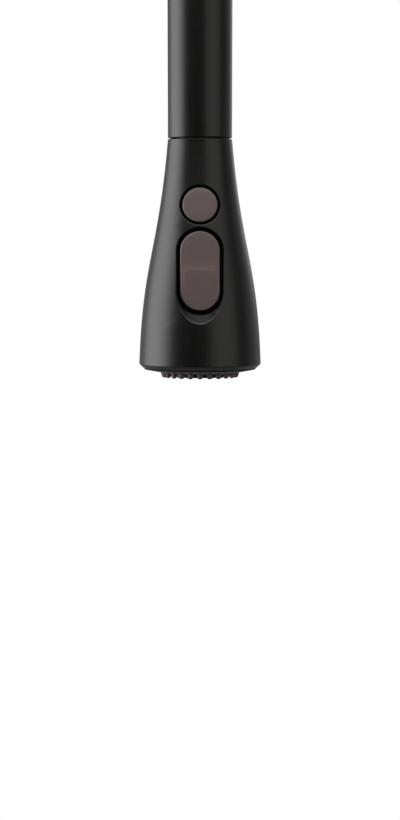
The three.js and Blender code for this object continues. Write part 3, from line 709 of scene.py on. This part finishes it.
def hose_cover(name, axis_x):
    """The braided cover of a hose about an upright axis: the strands that climb right are lighter, and a
    finer grain stands for their fibres. The colour also darkens to black towards each strand's edges, which
    is painted shade in the grooves between strands."""
    material, tree, shader = new_material(name, 0.0, 0.45)
    weave = use_group(tree, braid, Axis_x=axis_x * MM, Strands=STRANDS, Lay=BRAID_LAY * MM)
    fibre = use_group(
        tree, grain, Grains_per_metre=3200, Roughness=0.5, Grain_roughness=0.2, Wipe_roughness=0.1)
    strands = math_node(tree, "MULTIPLY_ADD", weave["Light strand"], 0.45, 0.3)
    # Painted shade: the strand tone is multiplied by the weave's height, so the colour goes dark towards each
    # strand's edges and in the grooves between strands.
    strands = math_node(tree, "MULTIPLY", strands, weave["Height"])
    fibres = math_node(tree, "MULTIPLY", fibre["Height"], 0.1)
    strand_tone_with_painted_groove_shade = math_node(tree, "SUBTRACT", strands, fibres, clamp=True)
    two_tone(tree, shader, strand_tone_with_painted_groove_shade, (0.012, 0.012, 0.012), (0.36, 0.355, 0.345))
    tree.links.new(fibre["Roughness"], shader.inputs["Roughness"])
    relief(tree, shader, weave["Height"], 0.35, 0.8)
    return material


surfaces["braided_hose"] = hose_cover("nylon_braid_at_head", HEAD_X)
hose_at_body = hose_cover("nylon_braid_in_body", 0)
lead_side = np.stack([np.full(260, HOSE_R), np.linspace(LEAD_FOOT + 0.4, LEAD_TOP - 0.4, 260)], -1)
lead_outline = np.vstack([
    [(0, LEAD_FOOT), (5.9, LEAD_FOOT), (6.15, LEAD_FOOT + 0.2)], lead_side, [(6.0, LEAD_TOP), (0, LEAD_TOP)],
])
lead = (carried(lead_outline, head_axis, 48), False, True)
hose_lead = made_piece("woven_hose", [lead], None, "braided_hose", "hose_lead")
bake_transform(hose_lead)

# ---------------------------------------------------------------- spray head: shell
# The shell is one plastic moulding, coated like the spout. It flares in an S-shaped bell from the tube's
# width to the spray face. Two holes in its front hold the buttons, and below the long one the wall sinks to
# a ledge.
TOP_R = 14.04
RIM_R = 26.84
SHELL_LENGTH = 99.0
CHAMFER = 1.9
WALL, SLEEVE_WALL = 2.2, 0.35
LEDGE_START, ROUND_WALL_START = 21.9, 16.5
ROUND_DEPTH, ROUND_LEAN = 31.9, math.radians(8.6)
ROCKER_DEPTH, BUTTON_STRAIGHT = 57.75, 8.65
SHELL_COLUMNS, FRONT_COLUMNS = 144, 19
ROUND_PATCH_TOP, WEB, ROCKER_PATCH_END = 19.6, 38.45, 84.0


def skin_radius(depth):
    """The shell's outer radius at a depth below the seam."""
    return TOP_R + (RIM_R - TOP_R) * flare(np.asarray(depth) / SHELL_LENGTH)


def head_place(x, y, depth):
    """Points of the spray head, given across, to the front or back, and down from the seam."""
    return np.stack(np.broadcast_arrays(HEAD_X + x, y, SEAM_Z - depth), -1)


def tilted(a, b, s, centre, tilt):
    """A place in the frame of a button: a across, b up and s out of the head, about an axis that starts at
    a depth of centre on the head's own axis and leans up by tilt."""
    depth = centre - b * math.cos(tilt) - s * math.sin(tilt)
    return head_place(a, b * math.sin(tilt) - s * math.cos(tilt), depth)


def ledge_drop(y):
    """How far the wall under the long button has sunk in front of LEDGE_START: a slope of 45 degrees."""
    return np.maximum(0, -y - LEDGE_START)


def shell_hole(outer, inner, radius, half_straight, centre, tilt, edge_radius, end, drops):
    """A hole in the shell, as one tube of loops from the window cut in the skin to the one in the lining.
    Each point of a loop lies on the ray from the hole's straight middle line through its point of the
    window. The loops go in to the hole's rounded edge, down its wall to the end of the sleeve, and back
    outside the sleeve to the lining."""
    window_a = outer[..., 0] - HEAD_X
    window_b = (outer[..., 2] - SEAM_Z + centre) * math.cos(tilt) + outer[..., 1] * math.sin(tilt)
    middle_b = np.clip(window_b, -half_straight, half_straight)
    reach = np.hypot(window_a, window_b - middle_b)
    across, along = window_a / reach, (window_b - middle_b) / reach
    lower = (window_b < -half_straight) & drops

    def outline(offset):
        """The hole's outline, widened by offset."""
        return (radius + offset) * across, middle_b + (radius + offset) * along

    def sunk(b, s):
        """b, lowered where the wall sinks to the ledge."""
        return b - np.where(lower, ledge_drop(b * math.sin(tilt) - s * math.cos(tilt)), 0)

    def skin_over(a, b, inset, sinks):
        """How far out the skin lies over (a, b), less an inset. Each guess is put half way to the skin at
        the depth that it gives."""
        s = np.full_like(a, 20.0)
        for _ in range(60):
            moved = sunk(b, s) if sinks else b
            depth = centre - moved * math.cos(tilt) - s * math.sin(tilt)
            room = np.sqrt(np.maximum((skin_radius(depth) - inset) ** 2 - a**2, 0))
            s = 0.5 * s + 0.5 * (moved * math.sin(tilt) + room) / math.cos(tilt)
        return s

    def edge_loop(offset, sink):
        """The hole's outline, widened by offset and sunk below the skin."""
        a, b = outline(offset)
        s = skin_over(a, b, 0, True) - sink
        return a, sunk(b, s), s

    edge_a, edge_b, _ = edge_loop(edge_radius, 0)
    loops = [outer]
    for t in (0.3, 0.6, 0.85, 0.96):
        a, b = window_a + (edge_a - window_a) * t, window_b + (edge_b - window_b) * t
        loops.append(tilted(a, b, skin_over(a, b, 0, False), centre, tilt))
    for turn in np.linspace(0, math.pi / 2, 6):
        a, b, s = edge_loop(edge_radius * (1 - math.sin(turn)), edge_radius * (1 - math.cos(turn)))
        loops.append(tilted(a, b, s, centre, tilt))
    bend = np.minimum(s - 0.4, LEDGE_START if drops else ROUND_WALL_START)
    levels = [s + (bend - s) * t for t in (0.3, 0.6, 0.9, 1.0)]
    levels += [bend + (end - bend) * t for t in (0.1, 0.5, 1.0)]
    a, b = outline(0)
    loops += [tilted(a, sunk(b, level), level, centre, tilt) for level in levels]
    a, b = outline(SLEEVE_WALL)
    lining_s = skin_over(a, b, WALL, True)
    levels = [end + (lining_s - end) * t for t in (0, 0.5, 1.0)]
    loops += [tilted(a, sunk(b, level), level, centre, tilt) for level in levels]
    b = sunk(b, lining_s)
    for t in (0.35, 0.7):
        a_t, b_t = a + (window_a - a) * t, b + (window_b - b) * t
        loops.append(tilted(a_t, b_t, skin_over(a_t, b_t, WALL, False), centre, tilt))
    return np.stack([*loops, inner])


def window(grid, rows, columns):
    """The points round a rectangle of a grid, in order."""
    (r0, r1), (c0, c1) = rows, columns
    step = 1 if r1 > r0 else -1
    down = np.arange(r0, r1, step)
    return np.vstack([grid[r0, c0:c1], grid[down, c1], grid[r1, c1:c0:-1], grid[down[::-1] + step, c0]])


skin_depths = np.concatenate([
    np.linspace(1.0, ROUND_PATCH_TOP, 12), np.linspace(ROUND_PATCH_TOP, WEB, 17)[1:],
    np.linspace(WEB, ROCKER_PATCH_END, 40)[1:], np.linspace(ROCKER_PATCH_END, 98.4, 12)[1:],
])
first_row, web_row, last_row = 11, 27, 66
skin = np.stack([skin_radius(skin_depths), skin_depths], -1)
lining = np.stack([skin_radius(skin_depths) - WALL, skin_depths], -1)[::-1]
lining = lining[(lining[:, 1] < 91) & (lining[:, 1] > 5)]
rim_depth = SHELL_LENGTH + CHAMFER
rim = soften([
    skin[-1], (RIM_R, SHELL_LENGTH), (RIM_R - CHAMFER, rim_depth), (23.4, rim_depth), (23.4, 92), lining[0],
], 0.5, closed=False)[1:-1]
lip = soften([
    lining[-1], (12.2, 4.2), (10.9, 4.2), (10.9, SEAM_GAP), (13.74, SEAM_GAP), (14.14, 0.85), skin[0],
], 0.25, closed=False)[1:-1]
profile = np.vstack([skin, rim, lining, lip])
around = (np.arange(SHELL_COLUMNS) - SHELL_COLUMNS // 2) * 2 * math.pi / SHELL_COLUMNS
radii, depths = profile[:, :1], profile[:, 1:]
shell_grid = head_place(radii * np.sin(around), -radii * np.cos(around), depths)
lining_row = len(skin) + len(rim) + np.searchsorted(-lining[:, 1], -skin_depths)
middle = SHELL_COLUMNS // 2
front = (middle - FRONT_COLUMNS, middle + FRONT_COLUMNS)
cut = np.zeros(shell_grid.shape[:2], bool)
cut[first_row:last_row, front[0] : front[1]] = True
cut[lining_row[last_row] : lining_row[first_row], front[0] : front[1]] = True
holes = []
for rows, shape in (
    ((first_row, web_row), (8.7, 0.0, ROUND_DEPTH, ROUND_LEAN, 0.36, 13.4, False)),
    ((web_row, last_row), (10.2, BUTTON_STRAIGHT, ROCKER_DEPTH, 0.0, 0.24, 12.0, True)),
):
    outer = window(shell_grid, rows, front)
    inner = window(shell_grid, (lining_row[rows[0]], lining_row[rows[1]]), front)
    holes.append((shell_hole(outer, inner, *shape), False, True))
made_piece("bell_shell", [(shell_grid, True, True, cut), *holes], "spray_head", "matte_black", "head_shell")

# ---------------------------------------------------------------- spray head: long button
# One moulding in satin taupe plastic, which leans forward at its foot to follow the shell's flare. It rocks
# on a steel pin, and a step across it gives the thumb a grip. Its face is slightly pillowed.
BUTTON_HALF_WIDTH = 8.5
BUTTON_FACE, BUTTON_BACK = 20.8, 17.8
BUTTON_LEAN = math.radians(3.3)
PIN_DEPTH = 58.0
STEP_PLACE, STEP_RISE, STEP_RUN, STEP_FALL = -0.2, 0.34, 3.4, 16.0
PILLOW_RISE, PILLOW_WIDTH = 0.13, 2.2
EDGE_R = 0.55

grained(
    "taupe_plastic", "satin_taupe_plastic", (0.13, 0.097, 0.0935), (0.167, 0.126, 0.1215), 0.42, 0.012, 0.55,
    Grains_per_metre=2600, Roughness=0.44, Grain_roughness=0.1, Wipe_roughness=0.09)


def step_height(across, down):
    """The thumb step: the face curls out over STEP_RUN to a crest, and from there it falls back slowly to
    the button's foot. The step dies out towards both sides."""
    below = down - STEP_PLACE
    rise = np.where(below < 0, np.clip(1 + below / STEP_RUN, 0, 1) ** 1.7, smooth_step(1 - below / STEP_FALL))
    return STEP_RISE * rise * smooth_step((BUTTON_HALF_WIDTH - 0.7 - np.abs(across)) / 1.6)


def pillow(from_edge):
    """How far a button's face has risen at a distance from its edge: a parabola over PILLOW_WIDTH, then
    level."""
    return PILLOW_RISE * (1 - np.clip(1 - from_edge / PILLOW_WIDTH, 0, 1) ** 2)


def leaning_button(across, down, out):
    """A point of the long button in its own leaning frame: across, down its face, and out from its face."""
    y = -BUTTON_FACE - down * math.sin(BUTTON_LEAN) - out * math.cos(BUTTON_LEAN)
    depth = ROCKER_DEPTH + down * math.cos(BUTTON_LEAN) - out * math.sin(BUTTON_LEAN)
    return head_place(across, y, depth)


# The face is a grid of rows across the button: its rounded top, rows that crowd at the crest, its rounded
# foot.
inner_width = BUTTON_HALF_WIDTH - EDGE_R
end_turn = np.linspace(math.pi / 2, 0, 15)[:-1]
crest = STEP_PLACE + np.array([
    -3.6, -3.1, -2.6, -2.1, -1.6, -1.1, -0.7, -0.35, -0.15, -0.05, 0, 0.1, 0.25, 0.45, 0.65, 0.8, 0.95,
])
straight_rows = np.concatenate([
    np.linspace(-BUTTON_STRAIGHT, crest[0], 7)[:-1], crest, np.linspace(crest[-1], BUTTON_STRAIGHT, 14)[1:],
])
end_rows = inner_width * np.sin(end_turn)
down_rows = np.concatenate([-BUTTON_STRAIGHT - end_rows, straight_rows, BUTTON_STRAIGHT + end_rows[::-1]])
end_widths = inner_width * np.cos(end_turn)
half_rows = np.concatenate([end_widths, np.full(len(straight_rows), inner_width), end_widths[::-1]])
share = np.sin(np.linspace(-math.pi / 2, math.pi / 2, 33) * 0.96) / math.sin(math.pi / 2 * 0.96)
across = half_rows[:, None] * share
down = np.broadcast_to(down_rows[:, None], across.shape)
beyond = np.maximum(np.abs(down) - BUTTON_STRAIGHT, 0)
face_out = step_height(across, down) + pillow(inner_width - np.hypot(across, beyond))
face = leaning_button(across, down, face_out)
ring_across = np.concatenate([across[:, 0], across[::-1, -1]])
ring_down = np.concatenate([down_rows, down_rows[::-1]])
ring_middle = np.clip(ring_down, -BUTTON_STRAIGHT, BUTTON_STRAIGHT)
out_across, out_down = ring_across / inner_width, (ring_down - ring_middle) / inner_width


def button_loop(offset, out):
    """The button's outline at a distance outside the face's flat part, and at a height over its face."""
    reach = inner_width + offset
    return leaning_button(out_across * reach, ring_middle + out_down * reach, np.full_like(ring_down, out))


back_out = BUTTON_BACK - BUTTON_FACE
back = leaning_button(across * 0.92, down, np.full_like(across, back_out))
loops = [leaning_button(ring_across, ring_down, step_height(ring_across, ring_down))]
loops += [
    button_loop(EDGE_R * math.sin(t), -EDGE_R * (1 - math.cos(t))) for t in np.linspace(0, math.pi / 2, 6)[1:]
]
loops += [button_loop(EDGE_R, -EDGE_R - 0.3), button_loop(EDGE_R, back_out + 0.4)]
loops += [button_loop(EDGE_R - 0.35, back_out), button_loop(EDGE_R - 1.2, back_out)]
loops.append(np.concatenate([back[:, 0], back[::-1, -1]]))
corner_x, corner_depth = np.array([-1, 1, 1, -1]), np.array([-1, -1, 1, 1])
arm = np.stack([
    head_place(half_x * corner_x, y, PIN_DEPTH + half_depth * corner_depth) for half_x, half_depth, y in (
        (0, 0, -18.3), (3.8, 2.8, -18.3), (3.8, 2.8, -13.0), (1.6, 1.1, -12.2), (1.6, 1.1, -2.4),
        (0, 0, -2.4),
    )
])
made_piece("rocker_pad", [
    (face, False, False), (np.stack(loops), False, True), (back, False, False), (arm, False, True),
], "rocker", "taupe_plastic", "rocker_button")

# ---------------------------------------------------------------- spray head: round button
# A cup of the same taupe plastic with a stem inside. It slides straight in along an axis that stands square
# to the shell, and its face is pillowed like the long button's.
CAP_R, CAP_FACE = 7.5, 17.87

round_axis = straight((HEAD_X, 0, SEAM_Z - ROUND_DEPTH), (0, -math.cos(ROUND_LEAN), math.sin(ROUND_LEAN)))
flat_r = CAP_R - EDGE_R
cap_edge = [
    (flat_r + EDGE_R * math.cos(t), CAP_FACE - EDGE_R + EDGE_R * math.sin(t))
    for t in np.linspace(0, math.pi / 2, 7)
]
cap_face = [(r, CAP_FACE + pillow(flat_r - r)) for r in np.linspace(6.6, 0, 20)]
cap_outline = [(0, 10.6), (2, 10.6), (2, 16), (5.3, 16), (5.3, 13.9), (CAP_R, 13.9), *cap_edge, *cap_face]
turned("round_cap", cap_outline, "round_button", "taupe_plastic", "round_button", round_axis, 96, 0)

# ---------------------------------------------------------------- spray head: face
# A black ring and a plate of moulded plastic close the head. Soft silicone nozzles stand out of the plate
# in three rings, so that scale can be rubbed off them, and the aerator for the plain stream fits in the
# middle.
PLATE_DEPTH = 102.4
DISC_DEPTH = 104.6
NOZZLE_TIP = 104.9
GROOVE, GROOVE_START, GROOVE_PITCH = 0.14, 6.9, 3.45

silicone = grained(
    "taupe_silicone", "soft_silicone", (0.15, 0.116, 0.11), (0.2, 0.157, 0.149), 0.4, 0.01, 0.5,
    Grains_per_metre=2200, Roughness=0.58, Grain_roughness=0.12, Wipe_roughness=0.08)
silicone.inputs["Subsurface Weight"].default_value = 0.08
silicone.inputs["Subsurface Scale"].default_value = 0.0008


def below_seam(outline):
    """An outline of (radius, depth below the seam) as one of (radius, height over the seam)."""
    return np.asarray(outline, float) * (1, -1)


def nozzle_row(radius, count, outline, around):
    """Nozzles side by side in a ring, the first at the front: one turned outline, moved round the ring."""
    turn = np.arange(count) * 2 * math.pi / count
    one = carried(below_seam(outline), head_axis, around)
    places = np.stack([radius * np.sin(turn), -radius * np.cos(turn), 0 * turn], -1)
    return [(one + place, False, True) for place in places]


turned("face_bezel", below_seam([
    (17.5, 102.7), (24.6, 101.35), (24.6, 101.2), (23, 101.2), (23, 95.5), (17.5, 95.5),
]), "spray_head", "black_plastic", "face_ring", head_axis, 144, 0.25)
groove_r = np.linspace(GROOVE_START, GROOVE_START + 2 * GROOVE_PITCH, 40)[1:-1]
groove_wave = 0.5 - 0.5 * np.cos(2 * math.pi * (groove_r - GROOVE_START) / GROOVE_PITCH)
turned("nozzle_plate", below_seam([
    (6.4, 100.3), (6.4, DISC_DEPTH - 0.3), (6.7, DISC_DEPTH),
    *zip(groove_r, DISC_DEPTH - GROOVE * groove_wave),
    (13.7, DISC_DEPTH), (13.95, DISC_DEPTH - 0.25), (14.3, PLATE_DEPTH), (17.15, PLATE_DEPTH), (17.15, 100.3),
]), "spray_head", "black_plastic", "spray_plate", head_axis, 144, 0.12)

wide_nozzle = [
    (0, 101.2), (1.05, 101.2), (1.05, 102.45), (1.3, 102.6), (1.38, 102.85), (1.33, 103.1), (0.92, 104.6),
    (0.84, 104.82), (0.7, NOZZLE_TIP), (0.5, NOZZLE_TIP - 0.04), (0.42, 104.7), (0.36, 103.0), (0, 102.8),
]
short_nozzle = [
    (0, 104.3), (0.95, 104.3), (0.92, 104.72), (0.8, 104.86), (0.62, NOZZLE_TIP), (0.45, NOZZLE_TIP - 0.03),
    (0.38, 104.7), (0, 104.6),
]
mat_outline = below_seam([(6.4, 98.3), (17.1, 98.3), (17.1, 99.95), (6.4, 99.95)])
mat = (carried(mat_outline, head_axis, 96), True, True)
nozzles = nozzle_row(16.0, 24, wide_nozzle, 20)
nozzles += [*nozzle_row(12.4, 16, short_nozzle, 16), *nozzle_row(8.9, 8, short_nozzle, 16)]
made_piece("nozzle_mat_with_nozzles", [mat, *nozzles], "spray_head", "taupe_silicone", "nozzle_mat")
turned("aerator", below_seam([
    (0, 99), (6.05, 99), (6.05, 103.4), (5.2, 103.4), (5.2, 102), (4.6, 102), (4.6, 102.7), (4.3, 102.7),
    (4.3, 102), (3.3, 102), (3.3, 102.7), (3.0, 102.7), (3.0, 102), (2.0, 102), (2.0, 102.7), (1.7, 102.7),
    (1.7, 102), (0.8, 102), (0.7, 102.8), (0, 102.8),
]), "spray_head", "black_plastic", "aerator_insert", head_axis, 96, 0.1)

# ---------------------------------------------------------------- spray head: neck and keeper
# A black plastic neck snaps into the shell and takes the hose's nut. The steel ring on its top is what the
# magnet in the spout's mouth holds.
turned("head_neck_moulding", [
    (8.3, 12.6), (10.5, 12.6), (10.5, -4.55), (12.1, -4.55), (12.1, -8), (10.8, -8), (10.8, -21), (4.4, -21),
    (4.4, -18.6), (8.3, -18.6),
], "spray_head", "black_plastic", "head_neck", head_axis, 96, 0.4)
turned("keeper_ring", [
    (8.4, 12.95), (10.4, 12.95), (10.4, 14), (8.4, 14),
], "spray_head", "steel", "dock_keeper", head_axis, 96, 0.25)

# ---------------------------------------------------------------- worktop clamp
# Below the worktop a brass shank with a thread carries the nut. Two screws in the nut press a steel washer
# and a rubber seal up against the worktop, and a gasket under the ring keeps water out.
SHANK_R, SHANK_PITCH, SHANK_THREAD = 17.0, 2.0, 0.9
SHANK_FOOT_Z, SHANK_TOP_Z = -61.6, 20.2
SCREW_R, SCREW_Y = 2.0, 21.7
WING_X = 29.5

grained(
    "rubber", "black_rubber", (0.01, 0.01, 0.01), (0.024, 0.023, 0.022), 0.3, 0.03, 0.5,
    Grains_per_metre=1100, Roughness=0.74, Grain_roughness=0.2, Wipe_roughness=0.14)


def flat_ring(name, inner, outer, low, high, slot, stands_for, radius):
    """A flat ring round the shank."""
    outline = [(inner, low), (outer, low), (outer, high), (inner, high)]
    turned(name, outline, "base", slot, stands_for, upright, 128, radius)


flat_ring("foot_gasket", 17.6, 25.5, 0, 1.6, "rubber", "deck_gasket", 0.4)
flat_ring("worktop_seal", 17.6, 27, -33, -30, "rubber", "under_deck_seal", 0.7)
flat_ring("steel_washer", 17.5, 27.5, -35, -33.35, "steel", "clamp_washer", 0.4)

shank_cut = screw_thread(SHANK_THREAD, SHANK_PITCH, SHANK_FOOT_Z + 0.1, SHANK_TOP_Z - 1.2)
shank = carried(threaded(SHANK_R, SHANK_FOOT_Z, SHANK_TOP_Z, SHANK_PITCH), upright, 96, shank_cut)
shank_ends = carried([
    (SHANK_R, SHANK_TOP_Z), (16.7, 20.6), (15.4, 20.6), (15.2, 20.4), (15.2, -61.8), (15.4, -62), (16.4, -62),
    (SHANK_R, SHANK_FOOT_Z),
], upright, 96)
shank_grids = [(shank, False, True), (shank_ends, False, True)]
made_piece("shank_with_thread", shank_grids, "base", "brass", "threaded_shank")


def rounded_block(low, high, radius=1.4, around=48):
    """A block with rounded upright edges and softened ends: a square outline with round corners, carried up
    from one pole to the other."""
    low, high = np.array(low, float), np.array(high, float)
    middle, half = (low + high) / 2, (high - low) / 2
    turn = np.linspace(0, 2 * math.pi, around, endpoint=False)
    direction = np.stack([np.cos(turn), np.sin(turn)], -1)
    rows = [np.tile((*middle[:2], low[2]), (around, 1))]
    for inset, z in (
        (0.5, low[2]), (0.15, low[2] + 0.15), (0, low[2] + 0.5), (0, high[2] - 0.5), (0.15, high[2] - 0.15),
        (0.5, high[2]),
    ):
        size = half[:2] - inset
        corner = np.minimum(radius, size)
        square = np.clip(direction * half.max() * 2, corner - size, size - corner)
        rows.append(np.column_stack([middle[:2] + square + direction * corner, np.full(around, z)]))
    return np.stack([*rows, np.tile((*middle[:2], high[2]), (around, 1))])


nut = carried(soften([(17.35, -50), (26, -50), (26, -38.5), (17.35, -38.5)], 0.9), upright, 120)
wings = [rounded_block((x - 6, -4.5, -49), (x + 6, 4.5, -40)) for x in (-WING_X, WING_X)]
nut_grids = [(nut, True, True), *[(wing, False, True) for wing in wings]]
made_piece("wing_nut", nut_grids, "base", "black_plastic", "mounting_nut")
screw_cut = screw_thread(0.35, 1.0, -53.5, -36.5)
screw_outline = np.vstack([[(0, -54.4)], threaded(SCREW_R, -54.4, -35.6, 1.0), [(1.4, -35.4), (0, -35.4)]])
head_outline = soften([
    (0, -56.4), (1.6, -56.4), (1.6, -58), (3.8, -58), (3.8, -54.5), (0, -54.5),
], 0.3)[2:-1]
for side, name in ((1, "left"), (-1, "right")):
    screw_axis = straight((0, side * SCREW_Y, 0))
    screw = (carried(screw_outline, screw_axis, 24, screw_cut), False, True)
    head = carried(head_outline, screw_axis, 40)
    head[0] = head[0].mean(0)
    made_piece(f"clamp_screw_{name}", [screw, (head, False, True)], "base", "steel", f"mounting_screw_{name}")

# ---------------------------------------------------------------- pieces inside
# The working pieces that the covers hide keep their frame shapes. Each gets the surface of what it is made
# of: white acetal for the moulded ones, alumina for the valve's discs, and the metals, rubber and plastics
# above.
grained(
    "white_plastic", "white_acetal", (0.73, 0.72, 0.69), (0.83, 0.82, 0.79), 0.5, 0.01, 0.4,
    Grains_per_metre=900, Roughness=0.38, Grain_roughness=0.12, Wipe_roughness=0.1)
grained(
    "ceramic", "alumina_ceramic", (0.76, 0.74, 0.68), (0.86, 0.84, 0.79), 0.55, 0.004, 0.4,
    Grains_per_metre=4200, Roughness=0.16, Grain_roughness=0.12, Wipe_roughness=0.05)

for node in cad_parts:
    for slot in bpy.data.objects[node].material_slots:
        slot.material = surfaces[slot.material.name.split(".")[0]]
bpy.data.objects["hose_in_body"].material_slots[0].material = hose_at_body
